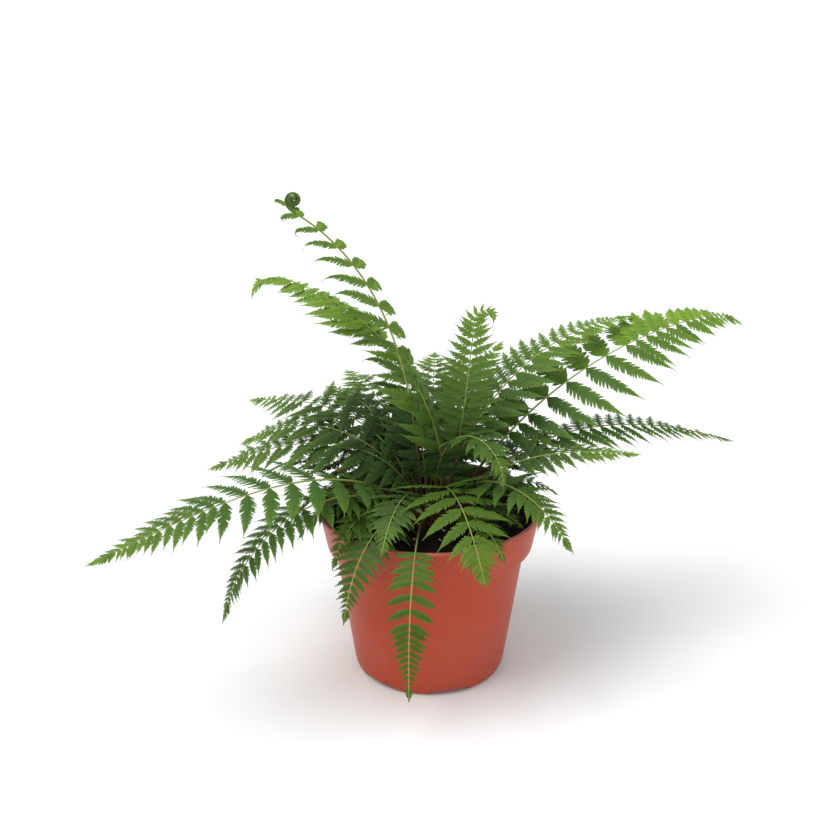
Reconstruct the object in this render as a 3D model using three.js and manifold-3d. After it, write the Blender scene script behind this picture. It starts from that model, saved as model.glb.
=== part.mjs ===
// Potted soft tree fern: a young fern in a round plastic nursery pot.
// Millimetres, +Z up. The origin is the centre of the pot's foot, on the ground.
import * as THREE from "three";
import { mergeVertices } from "three/addons/utils/BufferGeometryUtils.js";
import Module from "manifold-3d";

const wasm = await Module();
wasm.setup();

// Pot
const SEGMENTS = 32;
const POT_HEIGHT = 94;
const RIM_RADIUS = 60;
const RIM_BEAD_HEIGHT = 2.5;
const COLLAR_HEIGHT = 21;
const COLLAR_FOOT_RADIUS = 55.3;
const BODY_TOP_RADIUS = 51.3;
const FOOT_RADIUS = 41.2;
const FOOT_ROUND = 4.8;
const FOOT_RING_INNER = 30.5;
const PAD_RADIUS = 12;
const WALL = 1.4;
const RECESS = 3;
const FLOOR = RECESS + WALL;
const NOTCHES = 6;
const NOTCH_WIDTH = 21;
const NOTCH_FIRST_DEG = -75;
const DRAIN_HOLE_RADIUS = 4;
const DRAIN_HOLE_RING = 21;

// Potting soil
const FIT = 0.35;
const SOIL_HEIGHT = 86;
const SOIL_MOUND = 0.5;
const SOIL_WAVE = 0.45;

// Crown, the short stem top that the fronds grow from
const CROWN_RADIUS = 16;
const CROWN_FOOT = 80;
const CROWN_TOP = 88.6;
const SOCKET_GAP = 0.45;
const STRAIGHT_FOOT = 7;

// Fronds. Shares and ends are parts of one whole stalk or pinna.
const STIPE_HALF = 1.05;
const RACHIS_TIP_HALF = 0.45;
const TIP_BLADE_SHARE = 0.09;
const LEAFY_END = 0.92;
const COILED_LEAFY_END = 0.8;
const PINNA_HALF_THICKNESS = 0.42;
const PINNA_WIDTH_SHARE = 0.29;
const CLEARANCE = 0.35;
const PATH_STEPS = 100;
const TIP_START = 0.86;
const PINNA_STEPS = 50;

// How pinnae stand, in degrees, and the size from which a frond is tall and upright
const PINNA_RISE = 2;
const PINNA_DROOP = 12;
const UPRIGHT_DROOP = 34;
const COILED_DROOP = 56;
const UPRIGHT_RISE = 85;
const UPRIGHT_LENGTH = 150;
const UPRIGHT_SKEW = 24;
const RAISED_SKEW = 0.6;
const HANG_BACK = 0.55;
const EDGE_ON_ROLL = 60;

// How pinnae shorten towards the tip, and their widths along them as [place, share] rows
const TAPER = 2;
const COILED_TAPER = 2.6;
const LONG_PINNA = 30;
const PINNA_WIDTHS_LONG = [[0, 0.6], [0.26, 1], [0.66, 0.7], [1, 0]];
const PINNA_WIDTHS_SHORT = [[0, 0.6], [0.36, 1], [1, 0]];
const STALK_PARTS = 9;
const BARE_STEP = 0.09;

const GREEN = { colour: "#47802f", roughness: 0.55 };
const BRIGHT = { colour: "#69a23c", roughness: 0.55 };
const DEEP = { colour: "#365f2b", roughness: 0.6 };

// One row for each frond. The angles are in degrees: azimuth counted from +X to +Y,
// rise and fall the slope at the root and at the tip, curl the extra turn of the last part.
// A bend over 1 keeps the slope longer, a bend under 1 falls early. Lengths are in mm:
// root is the distance from the crown's axis. leafless is the bare share of the stalk.
const FRONDS = [
  // name, azimuth, rise, fall, bend, curl, length, roll, root, leafless, pairs, pinna, tone
  ["frond_front", -72, 104, -44, 0.5, 0, 107, 0, 7, 0.13, 10, 35, BRIGHT],
  ["frond_hanging", -97, 58, -95, 0.64, 0, 133, 0, 13, 0.41, 11, 17, BRIGHT],
  ["frond_crozier", 178, 86, 8, 2.2, 520, 216, 52, 3.5, 0.24, 11, 26, GREEN],
  ["frond_tall_left", 165, 100, 0, 1, -85, 193, -42, -5.5, 0.2, 12, 33, BRIGHT],
  ["frond_long_right", 22, 58, -3, 1, -36, 214, 27, 10, 0.24, 12, 40, GREEN],
  ["frond_back_right", 30, 80, -6, 1, 0, 170, 8, 7, 0.2, 11, 29, GREEN],
  ["frond_long_left", -151, 62, -15, 0.38, 0, 194, -5, 6.7, 0.16, 13, 38, GREEN],
  ["frond_drooping_left", -145, 55, -77, 1, 0, 148, 0, 10, 0.2, 11, 26, GREEN],
  ["frond_mid_right", 18, 58, -20, 0.55, 0, 185, 6, 13, 0.16, 12, 28, GREEN],
  ["frond_low_right", -12, 74, 0, 0.55, 0, 115, 4, 13, 0.14, 9, 28, DEEP],
  ["frond_front_right", -40, 92, -50, 0.7, 0, 106, 0, 13, 0.14, 10, 27, GREEN],
  ["frond_hanging_left", -121, 60, -75, 0.75, 0, 96, 0, 13, 0.2, 9, 21, GREEN],
  ["frond_rim_left", -136, 75, -72, 0.85, 0, 76, 0, 13, 0.16, 8, 20, BRIGHT],
  ["frond_rim_left_low", -158, 64, -60, 1, 0, 74, 0, 13, 0.22, 6, 18, GREEN],
  ["frond_dark_left", 172, 62, -95, 0.95, 0, 94, 0, 13, 0.2, 7, 21, DEEP],
  ["frond_left_a", 180, 92, -22, 0.5, 0, 136, -15, 7, 0.16, 9, 33, DEEP],
  ["frond_left_b", 168, 88, -34, 0.8, 0, 124, -20, 10, 0.16, 8, 33, DEEP],
  ["frond_left_c", 150, 94, -12, 0.52, 0, 136, -20, 10, 0.18, 8, 33, DEEP],
  ["frond_centre", -50, 90, -95, 2, 0, 106, 0, 3.5, 0.26, 9, 25, GREEN],
  ["frond_young", 2, 80, 86, 1, -190, 128, -90, 8, 0.34, 9, 21, BRIGHT],
  ["frond_tip_right", -58, 62, -50, 0.95, 0, 66, 0, 13, 0.24, 6, 17, BRIGHT],
  ["frond_rim_right", -26, 58, -40, 1, 0, 46, 0, 13, 0.24, 5, 15, GREEN],
  ["frond_back_centre", 88, 68, 0, 1, 0, 116, 0, 7, 0.18, 8, 34, DEEP],
  ["frond_back_left", 118, 68, -10, 1, 0, 116, 0, 10, 0.2, 7, 30, DEEP],
  ["frond_low_back_a", 60, 48, -42, 1, 0, 112, 0, 13, 0.15, 7, 29, DEEP],
  ["frond_low_back_b", 95, 49, -50, 1, 0, 104, 0, 13, 0.15, 7, 29, DEEP],
  ["frond_low_back_c", 135, 48, -42, 1, 0, 110, 0, 13, 0.15, 7, 29, DEEP],
  ["frond_inner_right", 56, 82, 20, 1, 0, 108, 0, 7, 0.14, 7, 27, GREEN],
  ["frond_inner_back_a", 75, 78, -10, 1, 0, 112, 0, 10, 0.14, 7, 29, DEEP],
  ["frond_inner_back_b", 105, 84, 10, 1, 0, 100, 0, 3.5, 0.24, 7, 26, DEEP],
  ["frond_inner_back_c", 134, 80, -10, 1, 0, 104, 0, 7, 0.14, 7, 28, DEEP],
  ["frond_rim_right_long", 3, 66, -40, 1, 0, 66, 0, 13, 0.18, 6, 20, GREEN],
  ["frond_low_left", 154, 50, -45, 1, 0, 104, 0, 13, 0.18, 7, 25, DEEP],
  ["frond_centre_left", -110, 82, -60, 1, 0, 84, 0, 7, 0.2, 6, 24, DEEP],
].map(([name, azimuth, rise, fall, bend, curl, length, roll, root, leafless, pairs, pinna, tone]) => ({
  name, azimuth, rise, fall, bend, curl, length, roll, root, leafless, pairs, pinna, tone,
}));

const rad = THREE.MathUtils.degToRad;
const lerp = THREE.MathUtils.lerp;

function toSolid(geometry) {
  const bare = geometry.clone();
  bare.deleteAttribute("normal");
  bare.deleteAttribute("uv");
  const merged = mergeVertices(bare, 1e-4);
  return new wasm.Manifold(
    new wasm.Mesh({
      numProp: 3,
      vertProperties: new Float32Array(merged.attributes.position.array),
      triVerts: new Uint32Array(merged.index.array),
    }),
  );
}

function toMesh(name, solid, material) {
  const made = solid.getMesh();
  const geometry = new THREE.BufferGeometry();
  const positions = new THREE.BufferAttribute(new Float32Array(made.vertProperties), 3);
  geometry.setAttribute("position", positions);
  geometry.setIndex(new THREE.BufferAttribute(new Uint32Array(made.triVerts), 1));
  const flat = geometry.toNonIndexed();
  flat.computeVertexNormals();
  const mesh = new THREE.Mesh(flat, material);
  mesh.name = name;
  return mesh;
}

function plain(colour, roughness, metalness = 0) {
  return new THREE.MeshStandardMaterial({ color: colour, roughness, metalness });
}

// A solid turned about Z from a profile of [radius, height] that starts and ends on the axis.
function turned(profile, segments = SEGMENTS) {
  const points = profile.map(([r, z]) => new THREE.Vector2(r, z));
  const geometry = new THREE.LatheGeometry(points, segments);
  geometry.rotateX(Math.PI / 2);
  return geometry;
}

function bodyRadius(z) {
  const share = (z - FOOT_ROUND) / (POT_HEIGHT - COLLAR_HEIGHT - FOOT_ROUND);
  return lerp(FOOT_RADIUS, BODY_TOP_RADIUS, share);
}

const COLLAR_FOOT = POT_HEIGHT - COLLAR_HEIGHT;
const BEAD_FOOT = POT_HEIGHT - RIM_BEAD_HEIGHT;
const LEDGE = COLLAR_FOOT + WALL;
const COLLAR_TOP_RADIUS = RIM_RADIUS - 1;

function collarInner(z) {
  const share = (z - COLLAR_FOOT) / (BEAD_FOOT - COLLAR_FOOT);
  return lerp(COLLAR_FOOT_RADIUS, COLLAR_TOP_RADIUS, share) - WALL;
}

function makePot() {
  const profile = [
    [0, 0],
    [PAD_RADIUS, 0],
    [PAD_RADIUS + 1.2, RECESS],
    [FOOT_RING_INNER - 1.2, RECESS],
    [FOOT_RING_INNER, 0],
    [FOOT_RADIUS - FOOT_ROUND, 0],
    [FOOT_RADIUS - FOOT_ROUND * 0.35, 1.3],
    [FOOT_RADIUS, FOOT_ROUND],
    [BODY_TOP_RADIUS, COLLAR_FOOT],
    [COLLAR_FOOT_RADIUS - 0.4, COLLAR_FOOT],
    [COLLAR_FOOT_RADIUS, COLLAR_FOOT + 0.5],
    [COLLAR_TOP_RADIUS, BEAD_FOOT],
    [RIM_RADIUS, BEAD_FOOT + 0.6],
    [RIM_RADIUS, POT_HEIGHT - 0.5],
    [RIM_RADIUS - 0.5, POT_HEIGHT],
    [RIM_RADIUS - 2.2, POT_HEIGHT],
    [collarInner(BEAD_FOOT), BEAD_FOOT],
    [collarInner(LEDGE), LEDGE],
    [bodyRadius(LEDGE) - WALL, LEDGE],
    [bodyRadius(FLOOR + 2.6) - WALL, FLOOR + 2.6],
    [FOOT_RADIUS - FOOT_ROUND + 0.4, FLOOR],
    [0, FLOOR],
  ];
  let pot = toSolid(turned(profile));
  for (let i = 0; i < NOTCHES; i += 1) {
    const angle = rad(NOTCH_FIRST_DEG + (i * 360) / NOTCHES);
    const notch = new THREE.BoxGeometry(20, NOTCH_WIDTH, 2 * RECESS);
    notch.translate(FOOT_RING_INNER - 2 + 10, 0, 0);
    notch.rotateZ(angle);
    const hole = new THREE.CylinderGeometry(DRAIN_HOLE_RADIUS, DRAIN_HOLE_RADIUS, 12, 8);
    hole.rotateX(Math.PI / 2);
    hole.translate(DRAIN_HOLE_RING, 0, 0);
    hole.rotateZ(angle);
    pot = pot.subtract(toSolid(notch)).subtract(toSolid(hole));
  }
  return pot;
}

function makeSoil() {
  const corner = FLOOR + 2.6;
  const profile = [
    [0, FLOOR + FIT],
    [FOOT_RADIUS - FOOT_ROUND, FLOOR + FIT],
    [bodyRadius(corner) - WALL - FIT, corner + FIT],
    [bodyRadius(LEDGE) - WALL - FIT, LEDGE + FIT],
    [collarInner(LEDGE) - FIT, LEDGE + FIT],
    [collarInner(SOIL_HEIGHT) - FIT, SOIL_HEIGHT],
    [46, SOIL_HEIGHT + 0.2],
    [36, SOIL_HEIGHT + 0.4],
    [26, SOIL_HEIGHT + 0.3],
    [CROWN_RADIUS + FIT, SOIL_HEIGHT + SOIL_MOUND],
    [CROWN_RADIUS + FIT, CROWN_FOOT - FIT],
    [0, CROWN_FOOT - FIT],
  ];
  const geometry = turned(profile);
  const p = geometry.attributes.position;
  for (let i = 0; i < p.count; i += 1) {
    const x = p.getX(i);
    const y = p.getY(i);
    const r = Math.hypot(x, y);
    if (p.getZ(i) > SOIL_HEIGHT + 0.1 && r > 24) {
      const wave = Math.sin(x * 0.31 + 1.2) * Math.cos(y * 0.27) + Math.sin((x + y) * 0.19);
      p.setZ(i, p.getZ(i) + SOIL_WAVE * wave);
    }
  }
  return toSolid(geometry);
}

// The directions of a four-sided cross-section: side, face, and their opposites.
const CORNERS = [
  [1, 0],
  [0, 1],
  [-1, 0],
  [0, -1],
];

// A mesh under construction: corner positions and triangles.
function newShell() {
  return { positions: [], index: [] };
}

function addPoint(shell, q) {
  shell.positions.push(q.x, q.y, q.z);
  return shell.positions.length / 3 - 1;
}

// Adds a station's four corners, or one point where it has no width.
function addRing(shell, station) {
  if (station.halfWidth === 0) return [addPoint(shell, station.centre)];
  const side = new THREE.Vector3().crossVectors(station.along, station.face).normalize();
  return CORNERS.map(([a, b]) => {
    const q = station.centre.clone().addScaledVector(side, a * station.halfWidth);
    return addPoint(shell, q.addScaledVector(station.face, b * station.halfThickness));
  });
}

// Joins two rings. Upper and lower faces are split alike. Faces listed in skip stay open.
function joinRings(shell, near, far, skip = []) {
  for (let k = 0; k < 4; k += 1) {
    if (skip.includes(k)) continue;
    const a = near[k];
    const b = near[(k + 1) % 4];
    const d = far[k % far.length];
    const c = far[(k + 1) % far.length];
    if (far.length === 1) shell.index.push(a, d, b);
    else if (k % 2 === 0) shell.index.push(a, d, c, a, c, b);
    else shell.index.push(a, d, b, b, d, c);
  }
}

function capStart(shell, ring) {
  shell.index.push(ring[0], ring[1], ring[2], ring[0], ring[2], ring[3]);
}

function capEnd(shell, ring) {
  if (ring.length === 1) return;
  shell.index.push(ring[0], ring[2], ring[1], ring[0], ring[3], ring[2]);
}

function closeShell(shell) {
  return new wasm.Manifold(
    new wasm.Mesh({
      numProp: 3,
      vertProperties: new Float32Array(shell.positions),
      triVerts: new Uint32Array(shell.index),
    }),
  );
}

// A closed four-sided bar through stations, each with a centre, the directions along and
// face, a half width and a half thickness. A last station of no width is a point.
function bar(stations) {
  const shell = newShell();
  const rings = stations.map((station) => addRing(shell, station));
  capStart(shell, rings[0]);
  for (let i = 0; i + 1 < rings.length; i += 1) joinRings(shell, rings[i], rings[i + 1]);
  capEnd(shell, rings[rings.length - 1]);
  return closeShell(shell);
}

// The stalk's path: a list of places with the directions along, across and face.
function stalkPath(frond) {
  const azimuth = rad(frond.azimuth);
  const out = new THREE.Vector3(Math.cos(azimuth), Math.sin(azimuth), 0);
  const up = new THREE.Vector3(0, 0, 1);
  const roll = rad(frond.roll);
  const place = out.clone().multiplyScalar(frond.root);
  place.z = SOIL_HEIGHT - 1;
  const path = [];
  for (let i = 0; i <= PATH_STEPS; i += 1) {
    const t = i / PATH_STEPS;
    const turn = frond.bend >= 1 ? t ** frond.bend : 1 - (1 - t) ** (1 / frond.bend);
    const last = Math.max(0, (t - TIP_START) / (1 - TIP_START)) ** 1.5;
    const slope = rad(lerp(frond.rise, frond.fall, turn) + frond.curl * last);
    const along = out.clone().multiplyScalar(Math.cos(slope)).addScaledVector(up, Math.sin(slope));
    const face = out.clone().multiplyScalar(-Math.sin(slope)).addScaledVector(up, Math.cos(slope));
    const across = new THREE.Vector3().crossVectors(along, face);
    path.push({
      centre: place.clone(),
      along,
      face: face.clone().multiplyScalar(Math.cos(roll)).addScaledVector(across, Math.sin(roll)),
      across: across.clone().multiplyScalar(Math.cos(roll)).addScaledVector(face, -Math.sin(roll)),
    });
    place.addScaledVector(along, frond.length / PATH_STEPS);
  }
  return path;
}

function onPath(path, t) {
  const at = Math.min(t * PATH_STEPS, PATH_STEPS - 1e-6);
  const a = path[Math.floor(at)];
  const b = path[Math.floor(at) + 1];
  const w = at - Math.floor(at);
  return {
    centre: a.centre.clone().lerp(b.centre, w),
    along: a.along.clone().lerp(b.along, w).normalize(),
    face: a.face.clone().lerp(b.face, w).normalize(),
    across: a.across.clone().lerp(b.across, w).normalize(),
  };
}

function stalkHalf(t) {
  return lerp(STIPE_HALF, RACHIS_TIP_HALF, Math.min(1, t / 0.9));
}

function isCoiled(frond) {
  return frond.curl > 300;
}

function stalkStation(path, t) {
  const half = stalkHalf(t);
  return { ...onPath(path, t), halfWidth: half, halfThickness: half };
}

// The bars of a coiled tip, each short enough not to meet itself.
function coilBars(path) {
  const runs = [
    [TIP_START - 0.01, 0.93, 4],
    [0.925, 0.965, 4],
    [0.96, 1, 4],
  ];
  return runs.map(([from, to, parts], run) => {
    const stations = [];
    for (let i = 0; i <= parts; i += 1) {
      const station = stalkStation(path, lerp(from, to, i / parts));
      station.halfWidth *= 1.1 - 0.14 * run;
      station.halfThickness *= 1.1 - 0.14 * run;
      stations.push(station);
    }
    return bar(stations);
  });
}

// Stations after the last pinnae: a long pointed blade, or the foot of the coil.
function tipStations(frond, path, from) {
  if (isCoiled(frond)) return [stalkStation(path, TIP_START)];
  const widths = frond.curl === 0 ? [0.12, 0.55, 1] : [0.12, 0.4, 0.7, 1];
  return widths.map((share) => {
    const station = stalkStation(path, lerp(from, 1, share));
    station.halfWidth = (1 - share) * TIP_BLADE_SHARE * frond.pinna;
    return station;
  });
}

// The bare stalk as a bar, to find what other fronds must keep clear of.
function makeStalk(frond, path) {
  const stations = [];
  const foot = STRAIGHT_FOOT / frond.length;
  stations.push(stalkStation(path, 0));
  for (let i = 0; i <= STALK_PARTS; i += 1) {
    stations.push(stalkStation(path, lerp(foot, TIP_START, i / STALK_PARTS)));
  }
  if (isCoiled(frond)) return wasm.Manifold.union([bar(stations), ...coilBars(path)]);
  return bar([...stations, ...tipStations(frond, path, TIP_START)]);
}

// The whole frond in one shell: stalk stations before and after each pair of pinnae, with
// the side faces between them opened to the roots of the pinnae.
function makeFrond(frond, path, pairs) {
  const shell = newShell();
  const bare = Math.max(2, Math.round(pairs[0].before / BARE_STEP));
  let near = addRing(shell, stalkStation(path, 0));
  capStart(shell, near);
  const foot = STRAIGHT_FOOT / frond.length;
  for (let i = 0; i < bare; i += 1) {
    const ring = addRing(shell, stalkStation(path, lerp(foot, pairs[0].before, i / bare)));
    joinRings(shell, near, ring);
    near = ring;
  }
  for (const pair of pairs) {
    const a = addRing(shell, stalkStation(path, pair.before));
    joinRings(shell, near, a);
    const b = addRing(shell, stalkStation(path, pair.after));
    const skip = [];
    if (pair.right) skip.push(0, 3);
    if (pair.left) skip.push(1, 2);
    joinRings(shell, a, b, skip);
    if (pair.right) addPinna(shell, a, b, 0, pair.right);
    if (pair.left) addPinna(shell, a, b, 2, pair.left);
    near = b;
  }
  for (const station of tipStations(frond, path, pairs[pairs.length - 1].after)) {
    const ring = addRing(shell, station);
    joinRings(shell, near, ring);
    near = ring;
  }
  capEnd(shell, near);
  const whole = closeShell(shell);
  return isCoiled(frond) ? wasm.Manifold.union([whole, ...coilBars(path)]).simplify(0.02) : whole;
}

// Grows one pinna from the stalk's side corner k between the rings a and b.
function addPinna(shell, a, b, k, stations) {
  const middle = (i, j, share) => {
    const q = new THREE.Vector3();
    for (const [n, w] of [[a[i], share], [b[i], share], [a[j], 1 - share], [b[j], 1 - share]]) {
      q.addScaledVector(new THREE.Vector3().fromArray(shell.positions, n * 3), w / 2);
    }
    return addPoint(shell, q);
  };
  const next = (k + 1) % 4;
  const back = (k + 3) % 4;
  const p = middle(k, next, 0.5);
  const q = middle(k, back, 0.5);
  shell.index.push(p, b[k], b[next], p, b[next], a[next], p, a[next], a[k]);
  shell.index.push(a[back], b[back], q, b[back], b[k], q, a[back], q, a[k]);
  let near = k === 0 ? [a[k], p, b[k], q] : [b[k], q, a[k], p];
  for (const station of stations.slice(1)) {
    const ring = addRing(shell, station);
    joinRings(shell, near, ring);
    near = ring;
  }
}

// A pinna is longest a third of the way along the leafy part and shortens to the tip.
function pinnaLength(frond, u) {
  const taper = isCoiled(frond) ? COILED_TAPER : TAPER;
  return frond.pinna * (0.6 + 0.4 * Math.min(1, u / 0.3)) * (1 - u ** taper);
}

// How the pinnae of one side stand, in degrees. On the tall upright fronds they lean to the
// tip. On a rolled frond those of the raised side hang back towards level and the foot.
function pinnaStand(frond, hand) {
  const raised = hand * frond.roll < 0;
  if (isCoiled(frond)) return { skew: raised ? UPRIGHT_SKEW : -UPRIGHT_SKEW, hang: 0, droop: COILED_DROOP };
  const roll = Math.abs(frond.roll);
  const tipped = raised && roll < EDGE_ON_ROLL ? roll : 0;
  const upright = frond.rise > UPRIGHT_RISE && frond.length > UPRIGHT_LENGTH;
  if (upright) return { skew: -UPRIGHT_SKEW, hang: tipped, droop: UPRIGHT_DROOP };
  return { skew: RAISED_SKEW * tipped, hang: HANG_BACK * tipped, droop: PINNA_DROOP };
}

// The stations of one pinna from its root out: a pointed blade with a ridge, drooping outwards.
function pinnaStations(frond, path, u, hand, lift, share) {
  const t = frond.leafless + (1 - frond.leafless) * u;
  const from = onPath(path, t);
  const length = pinnaLength(frond, u) * share;
  const half = (length * PINNA_WIDTH_SHARE) / 2;
  const widths = length > LONG_PINNA ? PINNA_WIDTHS_LONG : PINNA_WIDTHS_SHORT;
  const stand = pinnaStand(frond, hand);
  const centre = from.centre.clone();
  const stations = [];
  for (let i = 0; i <= PINNA_STEPS; i += 1) {
    const v = i / PINNA_STEPS;
    const sweep = rad(86 + stand.skew - 34 * u - 12 * v);
    const slope = rad(PINNA_RISE + lift - stand.hang - stand.droop * v);
    const level = from.along.clone().multiplyScalar(Math.cos(sweep));
    level.addScaledVector(from.across, hand * Math.sin(sweep));
    const along = level.clone().multiplyScalar(Math.cos(slope)).addScaledVector(from.face, Math.sin(slope));
    const face = from.face.clone().multiplyScalar(Math.cos(slope)).addScaledVector(level, -Math.sin(slope));
    const here = widths.find(([at]) => Math.round(at * PINNA_STEPS) === i);
    if (here) {
      const halfThickness = PINNA_HALF_THICKNESS * (v > 0.5 ? 0.8 : 1);
      stations.push({ centre: centre.clone(), along, face, halfWidth: half * here[1], halfThickness });
    }
    centre.addScaledVector(along, length / PINNA_STEPS);
  }
  return stations;
}

function boxed(solid) {
  return { solid, box: solid.boundingBox() };
}

function isClear(item, others) {
  return others.every((other) => {
    for (let k = 0; k < 3; k += 1) {
      if (item.box.min[k] > other.box.max[k] + CLEARANCE) return true;
      if (item.box.max[k] < other.box.min[k] - CLEARANCE) return true;
    }
    return item.solid.minGap(other.solid, 2 * CLEARANCE) > CLEARANCE;
  });
}

// A pinna takes the first of these bends and lengths that keeps it off everything else.
const BENDS = [
  [0, 1],
  [14, 1],
  [-14, 1],
  [28, 1],
  [-28, 1],
  [42, 1],
  [0, 0.7],
  [28, 0.7],
  [-28, 0.7],
  [14, 0.5],
  [-14, 0.5],
];

const potSolid = makePot();
const soilSolid = makeSoil();

const paths = new Map(FRONDS.map((frond) => [frond, stalkPath(frond)]));
const stalks = new Map(FRONDS.map((frond) => [frond, boxed(makeStalk(frond, paths.get(frond)))]));

function makeCrown() {
  let crown = toSolid(
    turned(
      [
        [0, CROWN_FOOT],
        [CROWN_RADIUS, CROWN_FOOT],
        [CROWN_RADIUS, SOIL_HEIGHT],
        [CROWN_RADIUS - 1.5, CROWN_TOP],
        [0, CROWN_TOP],
      ],
      24,
    ),
  );
  for (const frond of FRONDS) {
    const path = paths.get(frond);
    const foot = stalkStation(path, 0);
    const top = stalkStation(path, STRAIGHT_FOOT / frond.length);
    const onward = top.centre.clone().sub(foot.centre).normalize();
    foot.centre.addScaledVector(onward, -SOCKET_GAP);
    top.centre.addScaledVector(onward, SOCKET_GAP);
    for (const station of [foot, top]) {
      station.halfWidth += SOCKET_GAP;
      station.halfThickness += SOCKET_GAP;
    }
    crown = crown.subtract(bar([foot, top]));
  }
  const bodies = crown.decompose().sort((a, b) => b.volume() - a.volume());
  return bodies[0];
}

const crownSolid = makeCrown();
const ground = wasm.Manifold.cube([900, 900, 10], true).translate([0, 0, -4]);
const still = [potSolid, soilSolid, crownSolid, ground].map(boxed);
const placed = [];

const root = new THREE.Group();
root.name = "potted_soft_tree_fern";
root.add(toMesh("pot", potSolid, plain("#b04a32", 0.42)));
root.add(toMesh("potting_soil", soilSolid, plain("#2b211b", 0.95)));
root.add(toMesh("crown", crownSolid, plain("#5a3b24", 0.9)));

for (const frond of FRONDS) {
  const path = paths.get(frond);
  const pairs = [];
  const others = FRONDS.filter((f) => f !== frond).map((f) => stalks.get(f));
  const last = isCoiled(frond) ? COILED_LEAFY_END : LEAFY_END;
  for (let i = 0; i < frond.pairs; i += 1) {
    const u = last * ((i + 0.3) / (frond.pairs - 0.7)) ** 0.95;
    const hands = [-1, 1].map((hand) => {
      for (const [lift, share] of BENDS) {
        const stations = pinnaStations(frond, path, u, hand, lift, share);
        const item = boxed(bar(stations));
        if (isClear(item, still) && isClear(item, others) && isClear(item, placed)) return stations;
      }
      return null;
    });
    const [left, right] = hands;
    if (!left && !right) continue;
    const t = frond.leafless + (1 - frond.leafless) * u;
    const rootHalf = (left || right)[0].halfWidth / frond.length;
    pairs.push({ before: t - rootHalf, after: t + rootHalf, left, right });
    for (const stations of [left, right]) {
      if (stations) placed.push(boxed(bar(stations)));
    }
  }
  placed.push(stalks.get(frond));
  const material = plain(frond.tone.colour, frond.tone.roughness);
  root.add(toMesh(frond.name, makeFrond(frond, path, pairs), material));
}

export default root;
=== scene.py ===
"""A young soft tree fern in a round nursery pot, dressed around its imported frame."""

import bisect
import math
import random
from typing import NamedTuple

import bmesh
import bpy
from bpy.props import FloatProperty, FloatVectorProperty, IntProperty, PointerProperty
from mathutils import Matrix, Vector, kdtree


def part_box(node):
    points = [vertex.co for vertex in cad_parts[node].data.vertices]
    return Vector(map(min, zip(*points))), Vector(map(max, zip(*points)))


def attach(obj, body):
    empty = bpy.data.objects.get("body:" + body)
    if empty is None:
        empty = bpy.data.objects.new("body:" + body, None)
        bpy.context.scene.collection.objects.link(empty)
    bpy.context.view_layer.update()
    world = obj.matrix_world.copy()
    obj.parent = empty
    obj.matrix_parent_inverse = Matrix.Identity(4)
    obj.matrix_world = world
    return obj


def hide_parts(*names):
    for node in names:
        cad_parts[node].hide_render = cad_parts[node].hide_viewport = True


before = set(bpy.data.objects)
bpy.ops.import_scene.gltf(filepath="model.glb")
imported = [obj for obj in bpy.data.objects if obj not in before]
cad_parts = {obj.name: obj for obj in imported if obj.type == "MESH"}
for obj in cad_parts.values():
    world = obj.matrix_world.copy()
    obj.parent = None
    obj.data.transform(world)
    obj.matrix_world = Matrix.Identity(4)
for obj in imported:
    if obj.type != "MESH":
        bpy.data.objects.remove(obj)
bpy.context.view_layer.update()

bl_info = {
    "name": "Potted soft tree fern",
    "version": (1, 0, 0),
    "blender": (4, 5, 0),
    "location": "3D View > Sidebar > Potted fern",
    "description": "Builds the fronds, crown, soil and pot of a young tree fern",
    "category": "Add Mesh",
}

MM = 0.001

# How stalks and pinnae grow in the frame. Lengths are in millimetres, shares run from 0 to 1.
STALK_FOOT_Z = 85.0
PATH_STEPS = 100
PINNA_STEPS = 50
TIP_START = 0.86
LEAFY_END = 0.92
COILED_LEAFY_END = 0.8
COIL_TURN = 300.0
STIPE_RADIUS = 1.0
SHORT_STIPE_RADIUS = 0.62
RACHIS_TIP_RADIUS = 0.3

# What the scene adds to them: points on the stalk, lobes on its tail or coil, and lobes on
# the pinnae. Widths are shares of a pinna's length. Both kinds of lobe crowd to the tip.
STALK_STATIONS = 44
COIL_LOBES = 34
COIL_RADII = (0.5, 1.3)
COIL_BLADES = (3.6, 2.2)
COIL_SHADE = 0.7
COIL_FRESH = 0.25
TAIL_LOBE_SPACING = 1.6
TAIL_LOBE_LIMITS = (5, 11)
LOBE_SPACING = 1.8
LOBE_LIMITS = (3, 18)
LOBE_CROWDING = 1.15
LEAST_PINNA_SPACING = 2.8
BROAD_WIDTH = 0.44
RAISED_WIDTH = 0.38
FLAT_WIDTH = 0.33
STUB_WIDTH = 0.5
BROAD_ROLLS = (22, 60)
HOOK_START = 0.62
PLAIN_HOOK = 8.0
COIL_HOOKS = (34, 230)
SHARP_ANGLE = math.radians(50)

# Lift in degrees and share of full length that a pinna of the frame may have been given.
PINNA_BENDS = (
    (0, 1), (14, 1), (-14, 1), (28, 1), (-28, 1), (42, 1),
    (0, 0.7), (28, 0.7), (-28, 0.7), (14, 0.5), (-14, 0.5),
)
SAME_TIP = 0.4


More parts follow.
